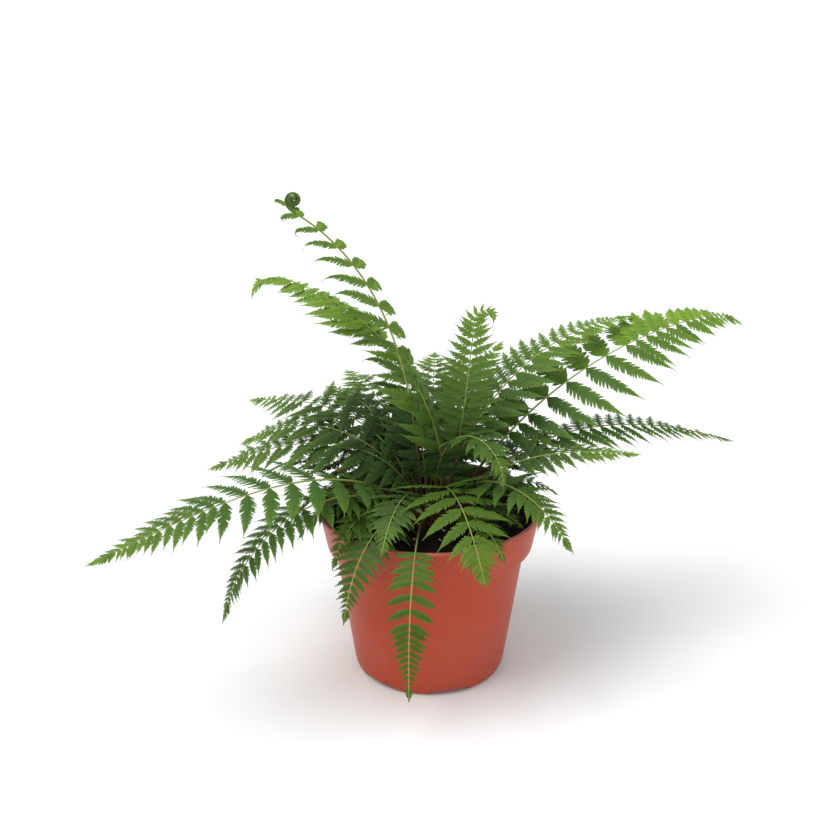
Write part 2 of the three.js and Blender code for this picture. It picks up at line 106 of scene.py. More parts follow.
class Frond(NamedTuple):
    """How one frond grows. Angles are in degrees."""

    name: str
    azimuth: float  # where it leans, seen from above
    rise: float  # slope at its foot
    fall: float  # slope at its tip
    bend: float  # below 1 the slope changes early, above 1 late
    curl: float  # further turn of the tip
    length: float
    roll: float  # turn of the blade about the stalk
    root: float  # from the pot's axis to the foot
    leafless: float  # share of the stalk below the pinnae
    pairs: int  # of pinnae in the frame
    pinna: float  # length of the longest one
    tone: str

    @property
    def coiled(self):
        return self.curl > COIL_TURN

    @property
    def hanging(self):
        return self.leafless > 0.4

    @property
    def leafy_end(self):
        """Share of the leafy part beyond which no pinnae of the frame grow."""
        return COILED_LEAFY_END if self.coiled else LEAFY_END

    def raised(self, hand):
        """Whether the frond is rolled so that its side of that hand stands up."""
        return hand * self.roll < 0


FRONDS = (
    Frond("front", -72, 104, -44, 0.5, 0, 107, 0, 7, 0.13, 10, 35, "bright"),
    Frond("hanging", -97, 58, -95, 0.64, 0, 133, 0, 13, 0.41, 11, 17, "bright"),
    Frond("crozier", 178, 86, 8, 2.2, 520, 216, 52, 3.5, 0.24, 11, 26, "green"),
    Frond("tall_left", 165, 100, 0, 1, -85, 193, -42, -5.5, 0.2, 12, 33, "bright"),
    Frond("long_right", 22, 58, -3, 1, -36, 214, 27, 10, 0.24, 12, 40, "green"),
    Frond("back_right", 30, 80, -6, 1, 0, 170, 8, 7, 0.2, 11, 29, "green"),
    Frond("long_left", -151, 62, -15, 0.38, 0, 194, -5, 6.7, 0.16, 13, 38, "green"),
    Frond("drooping_left", -145, 55, -77, 1, 0, 148, 0, 10, 0.2, 11, 26, "green"),
    Frond("mid_right", 18, 58, -20, 0.55, 0, 185, 6, 13, 0.16, 12, 28, "green"),
    Frond("low_right", -12, 74, 0, 0.55, 0, 115, 4, 13, 0.14, 9, 28, "deep"),
    Frond("front_right", -40, 92, -50, 0.7, 0, 106, 0, 13, 0.14, 10, 27, "green"),
    Frond("hanging_left", -121, 60, -75, 0.75, 0, 96, 0, 13, 0.2, 9, 21, "green"),
    Frond("rim_left", -136, 75, -72, 0.85, 0, 76, 0, 13, 0.16, 8, 20, "bright"),
    Frond("rim_left_low", -158, 64, -60, 1, 0, 74, 0, 13, 0.22, 6, 18, "green"),
    Frond("dark_left", 172, 62, -95, 0.95, 0, 94, 0, 13, 0.2, 7, 21, "deep"),
    Frond("left_a", 180, 92, -22, 0.5, 0, 136, -15, 7, 0.16, 9, 33, "deep"),
    Frond("left_b", 168, 88, -34, 0.8, 0, 124, -20, 10, 0.16, 8, 33, "deep"),
    Frond("left_c", 150, 94, -12, 0.52, 0, 136, -20, 10, 0.18, 8, 33, "deep"),
    Frond("centre", -50, 90, -95, 2, 0, 106, 0, 3.5, 0.26, 9, 25, "green"),
    Frond("young", 2, 80, 86, 1, -190, 128, -90, 8, 0.34, 9, 21, "bright"),
    Frond("tip_right", -58, 62, -50, 0.95, 0, 66, 0, 13, 0.24, 6, 17, "bright"),
    Frond("rim_right", -26, 58, -40, 1, 0, 46, 0, 13, 0.24, 5, 15, "green"),
    Frond("back_centre", 88, 68, 0, 1, 0, 116, 0, 7, 0.18, 8, 34, "deep"),
    Frond("back_left", 118, 68, -10, 1, 0, 116, 0, 10, 0.2, 7, 30, "deep"),
    Frond("low_back_a", 60, 48, -42, 1, 0, 112, 0, 13, 0.15, 7, 29, "deep"),
    Frond("low_back_b", 95, 49, -50, 1, 0, 104, 0, 13, 0.15, 7, 29, "deep"),
    Frond("low_back_c", 135, 48, -42, 1, 0, 110, 0, 13, 0.15, 7, 29, "deep"),
    Frond("inner_right", 56, 82, 20, 1, 0, 108, 0, 7, 0.14, 7, 27, "green"),
    Frond("inner_back_a", 75, 78, -10, 1, 0, 112, 0, 10, 0.14, 7, 29, "deep"),
    Frond("inner_back_b", 105, 84, 10, 1, 0, 100, 0, 3.5, 0.24, 7, 26, "deep"),
    Frond("inner_back_c", 134, 80, -10, 1, 0, 104, 0, 7, 0.14, 7, 28, "deep"),
    Frond("rim_right_long", 3, 66, -40, 1, 0, 66, 0, 13, 0.18, 6, 20, "green"),
    Frond("low_left", 154, 50, -45, 1, 0, 104, 0, 13, 0.18, 7, 25, "deep"),
    Frond("centre_left", -110, 82, -60, 1, 0, 84, 0, 7, 0.2, 6, 24, "deep"),
)


def paint(code):
    """A hex colour as the linear values that shaders use."""
    parts = [int(code[i : i + 2], 16) / 255 for i in (1, 3, 5)]
    return tuple(c / 12.92 if c <= 0.04045 else ((c + 0.055) / 1.055) ** 2.4 for c in parts)


def lerp(a, b, t):
    """The value a share t of the way from a to b."""
    return a + (b - a) * t


def clamped(value, low=0.0, high=1.0):
    return max(low, min(high, value))


def scaled(colour, share):
    return tuple(share * c for c in colour)


def greyed(colour, grey, share):
    """The colour turned towards a grey by a share."""
    return tuple(lerp(c, grey, share) for c in colour)


# Node trees


def pick(sockets, key):
    """The socket with that number, or the first in use that has that name, or any name."""
    if isinstance(key, int):
        return sockets[key]
    return next(s for s in sockets if s.enabled and key in (None, s.name))


class Wire:
    """An output of a node that can stand in a sum: each operator adds the node that does it."""

    def __init__(self, graph, socket):
        self.graph = graph
        self.socket = socket

    def out(self, name):
        """Another output of the same node."""
        return Wire(self.graph, pick(self.socket.node.outputs, name))

    def __add__(self, other):
        return self.graph.sum("ADD", self, other)

    def __radd__(self, other):
        return self.graph.sum("ADD", other, self)

    def __sub__(self, other):
        return self.graph.sum("SUBTRACT", self, other)

    def __rsub__(self, other):
        return self.graph.sum("SUBTRACT", other, self)

    def __mul__(self, other):
        return self.graph.sum("MULTIPLY", self, other)

    def __rmul__(self, other):
        return self.graph.sum("MULTIPLY", other, self)

    def clear_of(self, low, high):
        """0 below low, 1 above high, and smooth between them."""
        return self.graph.node(
            "ShaderNodeMapRange",
            {"interpolation_type": "SMOOTHSTEP"},
            {"Value": self, "From Min": low, "From Max": high},
        )

    def short_of(self, low, high):
        """1 below low, 0 above high, and smooth between them."""
        return 1.0 - self.clear_of(low, high)


class Graph:
    """Adds nodes to one tree."""

    def __init__(self, tree):
        self.tree = tree

    def node(self, kind, settings=None, inputs=None, out=None):
        """A new node: its settings first, then the values or links of its inputs."""
        made = self.tree.nodes.new(kind)
        for key, value in (settings or {}).items():
            if key == "stops":
                self._stops(made.color_ramp, value)
            else:
                setattr(made, key, value)
        for key, value in (inputs or {}).items():
            socket = pick(made.inputs, key)
            for item in value if isinstance(value, list) else [value]:
                if isinstance(item, Wire):
                    self.tree.links.new(item.socket, socket)
                elif socket.type == "RGBA":
                    socket.default_value = (*item, 1.0)
                elif socket.type == "VECTOR" and not hasattr(item, "__len__"):
                    socket.default_value = (item, item, item)
                else:
                    socket.default_value = item
        return Wire(self, pick(made.outputs, out))

    def _stops(self, ramp, stops):
        """Sets a ramp's stops from pairs of place and colour."""
        while len(ramp.elements) < len(stops):
            ramp.elements.new(1.0)
        for element, (place, colour) in zip(ramp.elements, stops):
            element.position = place
            element.color = (*colour, 1.0)

    def sum(self, operation, *values):
        """A sum of numbers, or of vectors where any value is one."""
        vectors = any(
            v.socket.type in ("VECTOR", "RGBA") if isinstance(v, Wire) else isinstance(v, tuple)
            for v in values
        )
        kind = "ShaderNodeVectorMath" if vectors else "ShaderNodeMath"
        return self.node(kind, {"operation": operation}, dict(enumerate(values)))

    def mix(self, a, b, share):
        """Colour a turned towards colour b by a share."""
        inputs = {"Factor": share, "A": a, "B": b}
        return self.node("ShaderNodeMix", {"data_type": "RGBA"}, inputs)

    def parts(self, vector):
        """The three numbers of a vector."""
        split = self.node("ShaderNodeSeparateXYZ", None, {0: vector})
        return split, split.out("Y"), split.out("Z")

    def vector(self, x=0.0, y=0.0, z=0.0):
        """A vector of three numbers."""
        return self.node("ShaderNodeCombineXYZ", None, {0: x, 1: y, 2: z})

    def noise(self, place, scale, detail=3.0, rough=0.5, out="Fac"):
        """Noise over a place, as a number or by its Color as a vector."""
        inputs = {"Vector": place, "Scale": scale, "Detail": detail, "Roughness": rough}
        return self.node("ShaderNodeTexNoise", None, inputs, out)


# Parts of the trees that make shapes


def new_tree(name, **inputs):
    """A tree of geometry nodes and the wires from its inputs, whose names come by their kind."""
    tree = bpy.data.node_groups.new(name, "GeometryNodeTree")
    tree.interface.new_socket("Geometry", in_out="OUTPUT", socket_type="NodeSocketGeometry")
    for kind, labels in {"Geometry": ["Geometry"], **inputs}.items():
        for label in labels:
            tree.interface.new_socket(label, in_out="INPUT", socket_type="NodeSocket" + kind)
    graph = Graph(tree)
    given = tree.nodes.new("NodeGroupInput")
    return graph, {s.name: Wire(graph, s) for s in given.outputs if s.name}


def end_tree(graph, wires):
    """Joins the geometry and gives it out."""
    joined = graph.node("GeometryNodeJoinGeometry", None, {"Geometry": wires})
    last = graph.tree.nodes.new("NodeGroupOutput")
    graph.tree.links.new(joined.socket, last.inputs[0])
    return graph.tree


def grown(name, mesh, tree, values):
    """A plain mesh object that the tree makes from the mesh."""
    obj = bpy.data.objects.new(name, mesh)
    bpy.context.scene.collection.objects.link(obj)
    modifier = obj.modifiers.new(tree.name, "NODES")
    modifier.node_group = tree
    for item in tree.interface.items_tree:
        if item.item_type == "SOCKET" and item.in_out == "INPUT" and item.name in values:
            modifier[item.identifier] = values[item.name]
    depsgraph = bpy.context.evaluated_depsgraph_get()
    made = bpy.data.meshes.new_from_object(
        obj.evaluated_get(depsgraph), preserve_all_data_layers=True, depsgraph=depsgraph
    )
    obj.modifiers.clear()
    obj.data = made
    made.name = name
    bpy.data.meshes.remove(mesh)
    return obj


def field(graph, name, kind="FLOAT"):
    """A value that the mesh carries under that name."""
    return graph.node("GeometryNodeInputNamedAttribute", {"data_type": kind}, {"Name": name})


def chance(graph, low, high, seed):
    """A random number or vector for each point."""
    kind = "FLOAT_VECTOR" if isinstance(low, tuple) else "FLOAT"
    inputs = {"Min": low, "Max": high, "Seed": seed}
    return graph.node("FunctionNodeRandomValue", {"data_type": kind}, inputs)


def moved(graph, geometry, offset):
    """The geometry with its points moved by the offset."""
    return graph.node("GeometryNodeSetPosition", None, {"Geometry": geometry, "Offset": offset})


def spots_on(graph, surface, density, seed):
    """Random points on a surface."""
    inputs = {"Mesh": surface, "Density": density, "Seed": seed}
    return graph.node("GeometryNodeDistributePointsOnFaces", None, inputs)


def copies(graph, points, thing, turn, **more):
    """The thing on each point. More holds its Scale, and the Selection of points that get it."""
    inputs = {"Points": points, "Instance": thing, "Rotation": turn, **more}
    return graph.node("GeometryNodeInstanceOnPoints", None, inputs)


def cone(graph, sides, top, bottom):
    """A tapered rod one unit long."""
    inputs = {"Vertices": sides, "Radius Top": top, "Radius Bottom": bottom, "Depth": 1.0}
    return graph.node("GeometryNodeMeshCone", None, inputs)


def coloured(graph, geometry, material):
    """The geometry as smooth plain mesh in one material."""
    real = graph.node("GeometryNodeRealizeInstances", None, {"Geometry": geometry})
    smooth = graph.node("GeometryNodeSetShadeSmooth", None, {"Geometry": real})
    return graph.node("GeometryNodeSetMaterial", None, {"Geometry": smooth, "Material": material})


# Materials


def new_material(name):
    """A material and its graph."""
    material = bpy.data.materials.new(name)
    material.use_nodes = True
    return material, Graph(material.node_tree)


def finish_shader(graph, **values):
    """Sets or links the surface shader's sockets, named with underscores for spaces."""
    shader = graph.tree.nodes["Principled BSDF"]
    for key, value in values.items():
        socket = pick(shader.inputs, key.replace("_", " "))
        if isinstance(value, Wire):
            graph.tree.links.new(value.socket, socket)
        else:
            socket.default_value = value


def own_place(graph):
    """The object's own coordinates."""
    return graph.node("ShaderNodeTexCoord", out="Object")


def mottle(graph, scale, detail=3.0, rough=0.5):
    """Noise over the object's own coordinates."""
    return graph.noise(own_place(graph), scale, detail, rough)


def carried(graph, name, out="Fac"):
    """A value that the mesh carries under that name."""
    return graph.node("ShaderNodeAttribute", {"attribute_name": name}, out=out)


def raised(graph, height, strength, distance):
    """A bump from a height."""
    inputs = {"Strength": strength, "Distance": distance, "Height": height}
    return graph.node("ShaderNodeBump", None, inputs)


def reach_and_height(graph):
    """Distance from the pot's axis, and height above its foot, in metres."""
    x, y, height = graph.parts(own_place(graph))
    return graph.sum("SQRT", x * x + y * y), height


def leaf_finish(name, colour, fresh_colour):
    """Leaf skin: veined lobes, paler beneath, yellower at the tips of frond and pinna."""
    material, graph = new_material(name)
    along, across, under = graph.parts(carried(graph, "lobe_place", "Vector"))
    beside = graph.sum("ABSOLUTE", across)
    midvein = beside.short_of(0.0, 0.07)
    herring = graph.sum("PINGPONG", along * 4.5 - beside * 5.0, 0.5)
    side_vein = herring.short_of(0.0, 0.16)
    vein = graph.sum("MAXIMUM", midvein, side_vein * 0.55)
    cloud = mottle(graph, 60.0)
    speck = mottle(graph, 900.0, 2.0)
    dark = scaled(colour, 0.42)
    fresh = carried(graph, "fresh") * 0.85 + cloud * 0.3 - 0.1
    skin = graph.mix(colour, fresh_colour, fresh.clear_of(0.0, 1.0))
    skin = graph.mix(skin, dark, carried(graph, "shade") * 0.55 + speck * 0.16)
    skin = graph.mix(skin, fresh_colour, vein * 0.2 + along.clear_of(0.5, 1.0) * 0.3)
    skin = graph.mix(skin, dark, along.short_of(0.0, 0.4) * (1.0 - midvein) * 0.25)
    skin = graph.mix(skin, greyed(colour, 0.32, 0.22), under * 0.5)

    # Painted shade makes leaves darkest in the middle of the plant and olive low down, and painted
    # light makes them fresh at the top.
    reach, height = reach_and_height(graph)
    inner = reach.short_of(0.03, 0.09) * height.short_of(0.12, 0.22)
    low_shade_olive = tuple(share * c for share, c in zip((0.45, 0.4, 0.1), colour))
    skin = graph.mix(skin, scaled(colour, 0.38), inner * 0.55)
    skin = graph.mix(skin, low_shade_olive, height.short_of(0.068, 0.13) * 0.7)
    skin = graph.mix(skin, fresh_colour, height.clear_of(0.14, 0.22) * 0.4)
    rough = 0.44 + speck * 0.16 + under * 0.18
    bump = raised(graph, speck * 0.3 - vein, 0.25, 0.0001)
    finish_shader(
        graph, Base_Color=skin, Roughness=rough, Normal=bump, Specular_IOR_Level=0.25
    )
    return material


def stalk_finish(name, green, brown, coil_green):
    """Stalk skin: brown and ribbed at the foot, light green further up."""
    material, graph = new_material(name)
    cloud = mottle(graph, 90.0)
    grain = mottle(graph, 1400.0, 4.0, 0.6)
    bark = carried(graph, "bark") + cloud * 0.4 - 0.2
    skin = graph.mix(green, brown, bark.clear_of(0.0, 1.0))
    skin = graph.mix(skin, scaled(brown, 0.5), grain.clear_of(0.5, 0.8) * 0.4)
    # Painted shade: stalks in the middle of the plant, among the leaves, turn dark brown.
    reach, height = reach_and_height(graph)
    inner = reach.short_of(0.025, 0.06) * height.short_of(0.105, 0.165)
    skin = graph.mix(skin, scaled(brown, 0.45), inner * 0.75)
    skin = graph.mix(skin, coil_green, carried(graph, "shade").clear_of(0.4, 0.7) * 0.85)
    bump = raised(graph, grain, 0.3, 0.0001)
    finish_shader(graph, Base_Color=skin, Roughness=0.5 + grain * 0.2, Normal=bump)
    return material


def hair_finish(name, colour):
    """Fine golden-brown hairs."""
    material, graph = new_material(name)
    tone = mottle(graph, 450.0, 2.0)
    skin = graph.mix(scaled(colour, 0.45), scaled(colour, 1.5), tone.clear_of(0.3, 0.7))
    finish_shader(graph, Base_Color=skin, Roughness=0.5 + tone * 0.2)
    return material


def grain_finish(name, codes, scale, roughness=0.9):
    """A crumbly or fibrous matter in a few colours, from dark to light."""
    material, graph = new_material(name)
    cloud = mottle(graph, scale, 5.0, 0.65)
    stops = [(lerp(0.32, 0.7, i / (len(codes) - 1)), paint(c)) for i, c in enumerate(codes)]
    skin = graph.node("ShaderNodeValToRGB", {"stops": stops}, {"Fac": cloud})
    fine = mottle(graph, scale * 5, 3.0, 0.6)
    bump = raised(graph, fine + cloud, 0.6, 0.0003)
    rough = roughness + fine * 0.1
    finish_shader(
        graph, Base_Color=skin, Roughness=rough, Normal=bump, Specular_IOR_Level=0.25
    )
    return material


def pot_finish(settings):
    """Moulded pot plastic: satin, a little clouded, lighter along the top of its rim, with specks
    of soil.
    """
    material, graph = new_material("pot_plastic")
    x, _, height = graph.parts(own_place(graph))
    colour = tuple(settings.colour)
    cloud = mottle(graph, 14.0, 4.0)
    fine = mottle(graph, 700.0, 4.0, 0.6)
    film = mottle(graph, 45.0, 6.0, 0.7).clear_of(0.55, 0.85)
    skin = graph.mix(colour, greyed(colour, 0.5, 0.05), cloud.clear_of(0.35, 0.75))
    skin = graph.mix(skin, scaled(colour, 0.82), (1.0 - cloud).clear_of(0.5, 0.8))
    skin = graph.mix(skin, greyed(colour, 0.6, 0.2), film * 0.3)
    # Lighter along the top of the rim.
    skin = graph.mix(skin, greyed(colour, 0.7, 0.25), height.clear_of(0.0925, 0.094) * 0.5)

    # Soil sticks near the foot, near the rim, and low on the two flanks.
    near_edge = height.short_of(0.0, 0.03) + height.clear_of(0.078, 0.094)
    flank = graph.sum("ABSOLUTE", x).clear_of(0.028, 0.04)
    flank = flank * height.short_of(0.02, 0.06) * cloud.clear_of(0.3, 0.6)
    specks = (mottle(graph, 330.0, 2.0) + flank * 0.065).clear_of(0.69, 0.72)
    specks = specks * graph.sum("MAXIMUM", near_edge, flank)
    skin = graph.mix(skin, tuple(settings.dirt_colour), specks * 0.85)
    rough = settings.roughness + fine * 0.08 + film * 0.12 + specks * 0.3
    bump = raised(graph, fine * 0.3 + cloud * 0.7 + specks, 0.12, 0.0006)
    finish_shader(
        graph, Base_Color=skin, Roughness=rough, Normal=bump, Specular_IOR_Level=0.28
    )
    return material


# Shapes turned about the pot's own axis


def filleted(corners, steps=5):
    """Profile points in metres from corners of radius, height and fillet in millimetres."""
    points = []
    for i, (r, z, fillet) in enumerate(corners):
        here = Vector((r, z))
        if not fillet or i in (0, len(corners) - 1):
            points.append(here * MM)
            continue
        back = Vector(corners[i - 1][:2]) - here
        on = Vector(corners[i + 1][:2]) - here
        a = here + back.normalized() * min(fillet, back.length * 0.48)
        b = here + on.normalized() * min(fillet, on.length * 0.48)
        for k in range(steps + 1):
            t = k / steps
            points.append(((1 - t) ** 2 * a + 2 * t * (1 - t) * here + t * t * b) * MM)
    return points


def turned(name, profile, segments):
    """A closed mesh turned about Z from a profile that starts and ends on the axis."""
    shell = bmesh.new()
    turn = [2 * math.pi * k / segments for k in range(segments)]
    rings = []
    for r, z in profile:
        if r < 1e-7:
            rings.append([shell.verts.new((0, 0, z))] * segments)
        else:
            rings.append([shell.verts.new((r * math.cos(a), r * math.sin(a), z)) for a in turn])
    for low, high in zip(rings, rings[1:]):
        for k in range(segments):
            n = (k + 1) % segments
            corners = dict.fromkeys((low[k], low[n], high[n], high[k]))
            shell.faces.new(list(corners))
    bmesh.ops.recalc_face_normals(shell, faces=shell.faces)
    return emptied(shell, name)


def emptied(shell, name):
    """The shell as a mesh."""
    mesh = bpy.data.meshes.new(name)
    shell.to_mesh(mesh)
    shell.free()
    return mesh


# The midribs of a frond. A path is a list of stations (share, place, along, face).


def stalk_steps(frond):
    """Shares of the stalk's length at which its path is worked out, closer where it curls."""
    steps = [i / PATH_STEPS for i in range(PATH_STEPS + 1)]
    if frond.curl:
        first = round(TIP_START * PATH_STEPS)
        fine = (PATH_STEPS - first) * 5
        steps = steps[:first] + [lerp(TIP_START, 1, i / fine) for i in range(fine + 1)]
    return steps


def stalk_path(frond):
    """Stations from the foot of the stalk to its tip."""
    azimuth = math.radians(frond.azimuth)
    out = Vector((math.cos(azimuth), math.sin(azimuth), 0))
    up = Vector((0, 0, 1))
    roll = math.radians(frond.roll)
    place = out * frond.root + up * STALK_FOOT_Z
    steps = stalk_steps(frond)
    path = []
    for i, t in enumerate(steps):
        turn = t**frond.bend if frond.bend >= 1 else 1 - (1 - t) ** (1 / frond.bend)
        last = max(0.0, (t - TIP_START) / (1 - TIP_START)) ** 1.5
        slope = math.radians(lerp(frond.rise, frond.fall, turn) + frond.curl * last)
        along = out * math.cos(slope) + up * math.sin(slope)
        face = up * math.cos(slope) - out * math.sin(slope)
        across = along.cross(face)
        path.append((t, place.copy(), along, face * math.cos(roll) + across * math.sin(roll)))
        if i + 1 < len(steps):
            place += along * frond.length * (steps[i + 1] - t)
    return path


def on_path(path, share):
    """Place, direction and upper face at a share of a path's length."""
    k = clamped(bisect.bisect_right([s[0] for s in path], share) - 1, 0, len(path) - 2)
    (ta, *a), (tb, *b) = path[k], path[k + 1]
    w = clamped((share - ta) / (tb - ta))
    place, along, face = (p.lerp(q, w) for p, q in zip(a, b))
    return place, along.normalized(), face.normalized()


def twisted(face, along, degrees):
    """The upper face turned about the direction of a midrib."""
    angle = math.radians(degrees)
    return face * math.cos(angle) + along.cross(face) * math.sin(angle)


def pinna_length(frond, u):
    """A pinna is longest a third of the way up the leafy part and shortens to the tip."""
    taper = 2.6 if frond.coiled else 2.0
    return frond.pinna * (0.6 + 0.4 * min(1, u / 0.3)) * (1 - u**taper)


def pinna_stand(frond, hand):
    """Skew, hang and droop of the pinnae of one side: those of the tall upright fronds lean to
    the tip, and on a rolled frond those of the raised side hang back towards level."""
    if frond.coiled:
        return (24.0 if frond.raised(hand) else -24.0), 0.0, 56.0
    roll = abs(frond.roll)
    tipped = roll if frond.raised(hand) and roll < 60 else 0.0
    if frond.rise > 85 and frond.length > 150:
        return -24.0, tipped, 34.0
    return 0.6 * tipped, 0.55 * tipped, 12.0


def pinna_path(root, u, hand, lift, length, stand, sway=0.0, hook=0.0):
    """Stations of one pinna from its root. Angles are in degrees."""
    place, stalk_along, stalk_face = root
    place = place.copy()
    across = stalk_along.cross(stalk_face)
    skew, hang, droop = stand
    path = []
    for i in range(PINNA_STEPS + 1):
        v = i / PINNA_STEPS
        sweep = math.radians(86 + skew + sway - 34 * u - 12 * v)
        hooked = hook * max(0.0, (v - HOOK_START) / (1 - HOOK_START)) ** 1.4
        slope = math.radians(2 + lift - hang - droop * v - hooked)
        level = stalk_along * math.cos(sweep) + across * hand * math.sin(sweep)
        along = level * math.cos(slope) + stalk_face * math.sin(slope)
        face = stalk_face * math.cos(slope) - level * math.sin(slope)
        path.append((v, place.copy(), along, face))
        place += along * length / PINNA_STEPS
    return path


def pinna_pairs(frond):
    """Shares of the leafy part at which pairs grow: those of the frame, with (share, True),
    and those between them where the pinnae are short and close."""
    count = frond.pairs
    firm = [frond.leafy_end * ((i + 0.3) / (count - 0.7)) ** 0.95 for i in range(count)]
    if frond.coiled:
        return [(u, True) for u in firm] + [(0.85, False)]
    leafy = (1 - frond.leafless) * frond.length
    pairs = []
    for a, b in zip(firm, firm[1:]):
        pairs.append((a, True))
        wanted = 0.8 + 0.28 * pinna_length(frond, (a + b) / 2)
        extra = round((b - a) * leafy / max(LEAST_PINNA_SPACING, wanted)) - 1
        pairs += [(lerp(a, b, (k + 1) / (extra + 1)), False) for k in range(extra)]
    return pairs + [(firm[-1], True)]


def found_bend(tips, root, u, hand, length, stand):
    """The lift and share that the frame's own pinna has, or None where it has none."""
    for lift, share in PINNA_BENDS:
        tip = pinna_path(root, u, hand, lift, length * share, stand)[-1][1]
        if tips.find(tip * MM)[2] < SAME_TIP * MM:
            return lift, share
    return None


class Skeleton:
    """The midribs of one frond as linked points, with what grows on each point."""

    NUMBERS = ("thick", "blade", "gap", "fresh", "shade", "bark", "order", "end", "droop")

    def __init__(self):
        self.places = []
        self.links = []
        self.along = []
        self.face = []
        self.numbers = {key: [] for key in self.NUMBERS}

    def add(self, linked, place, along, face, **numbers):
        """One more point, linked to the one before it where it isn't the first of its midrib."""
        if linked:
            self.links.append((len(self.places) - 1, len(self.places)))
        self.places.append(place * MM)
        self.along.append(along)
        self.face.append(face)
        for key in self.NUMBERS:
            self.numbers[key].append(numbers.get(key, 0.0))

    def mesh(self, name):
        """The points and links as a mesh that carries their values."""
        made = bpy.data.meshes.new(name)
        made.from_pydata(self.places, self.links, [])
        for key, rows in (("along", self.along), ("face", self.face)):
            layer = made.attributes.new(key, "FLOAT_VECTOR", "POINT")
            layer.data.foreach_set("vector", [c for row in rows for c in row])
        for key, row in self.numbers.items():
            made.attributes.new(key, "FLOAT", "POINT").data.foreach_set("value", row)
        return made


def add_rachis(skeleton, frond, path, shade):
    """The stalk, and the small lobes of its tail or of its coil."""
    tail = frond.leafless + (1 - frond.leafless) * frond.leafy_end
    room = frond.length * (1 - tail)
    lobes = round(clamped(room / TAIL_LOBE_SPACING, *TAIL_LOBE_LIMITS))
    if frond.coiled:
        lobes = COIL_LOBES
    shares = [tail * i / STALK_STATIONS for i in range(STALK_STATIONS)]
    shares += [lerp(tail, 1, 1 - (1 - i / lobes) ** LOBE_CROWDING) for i in range(lobes + 1)]
    step = room / lobes
    foot = lerp(SHORT_STIPE_RADIUS, STIPE_RADIUS, clamped((frond.length - 90) / 110))
    for i, share in enumerate(shares):
        on = max(0.0, (share - tail) / (1 - tail))
        # Bark covers the leafless foot and thins out above it.
        values = {
            "bark": clamped(1.35 - share / max(0.18, frond.leafless * 1.1)),
            "fresh": clamped(on * 1.6),
            "shade": shade,
        }
        lobed = share > tail and i < len(shares) - 1
        if frond.coiled:
            values["thick"] = lerp(*COIL_RADII, clamped((on - 0.7) / 0.26)) * MM
            if lobed:
                values |= {"shade": COIL_SHADE, "fresh": COIL_FRESH, "droop": -1.25}
                values |= {"blade": lerp(*COIL_BLADES, on) * MM, "gap": step * 1.9 * MM}
        else:
            radius = lerp(RACHIS_TIP_RADIUS, foot, max(0.0, 1 - share / 0.9) ** 2.1)
            values["thick"] = radius * (1 - 0.6 * on) * MM
            if lobed:
                values["blade"] = (0.15 * frond.pinna * (1 - on) ** 0.8 + 0.8) * MM
                values["gap"] = step * 1.15 * (1 - on) ** 0.15 * MM
            elif share > tail:
                values |= {"end": 2.2 * MM, "gap": 0.8 * MM}
        skeleton.add(i > 0, *on_path(path, share), **values)
    if frond.coiled:
        close_coil(skeleton, frond, path)


def close_coil(skeleton, frond, path):
    """Two more points, into the middle of the coil."""
    place, along, face = on_path(path, 1.0)
    inward = twisted(face, along, -frond.roll)
    for ahead, inside, thick in ((1.0, 1.1, 1.3), (0.4, 2.2, 1.2)):
        spot = place + along * ahead + inward * inside
        values = {"thick": thick * MM, "fresh": COIL_FRESH, "shade": COIL_SHADE}
        skeleton.add(True, spot, inward, -along, **values)


def add_pinna(skeleton, path, length, width, broad, blunt, settings, shade, fresh):
    """One pinna's midrib, with a pair of lobes at each point but the first and the last."""
    rib = settings.rib_radius
    lobes = int(clamped(length / LOBE_SPACING + 2, *LOBE_LIMITS))
    skeleton.add(False, *path[0][1:], thick=rib, order=1.0, shade=shade, fresh=fresh)
    for k in range(lobes + 1):
        s = min(1.0, (k + 0.5) / lobes)
        v = 0.02 + 0.98 * (1 - (1 - s) ** LOBE_CROWDING)
        gap = length * (1.6 if broad else 1.0) * max(0.25, 1 - s) ** 0.15 / lobes * MM
        values = {
            "thick": rib * lerp(1, 0.35, v),
            "order": 1.0,
            "shade": shade,
            "fresh": clamped(fresh + 0.45 * v**2.5),
        }
        if k < lobes:
            # Widest from a fifth of the way, with a sixteenth left at the tip.
            taper = (1 - v**blunt) * 0.94 + 0.06
            half = width / 2 * taper * (0.72 + 0.28 * min(1, v / 0.2))
            values |= {"blade": half / math.sin(settings.lobe_lean) * MM, "gap": gap}
        else:
            values |= {"end": (0.09 * length + 1.0) * MM, "gap": gap * 0.34}
        skeleton.add(True, *on_path(path, min(v, 1.0)), **values)


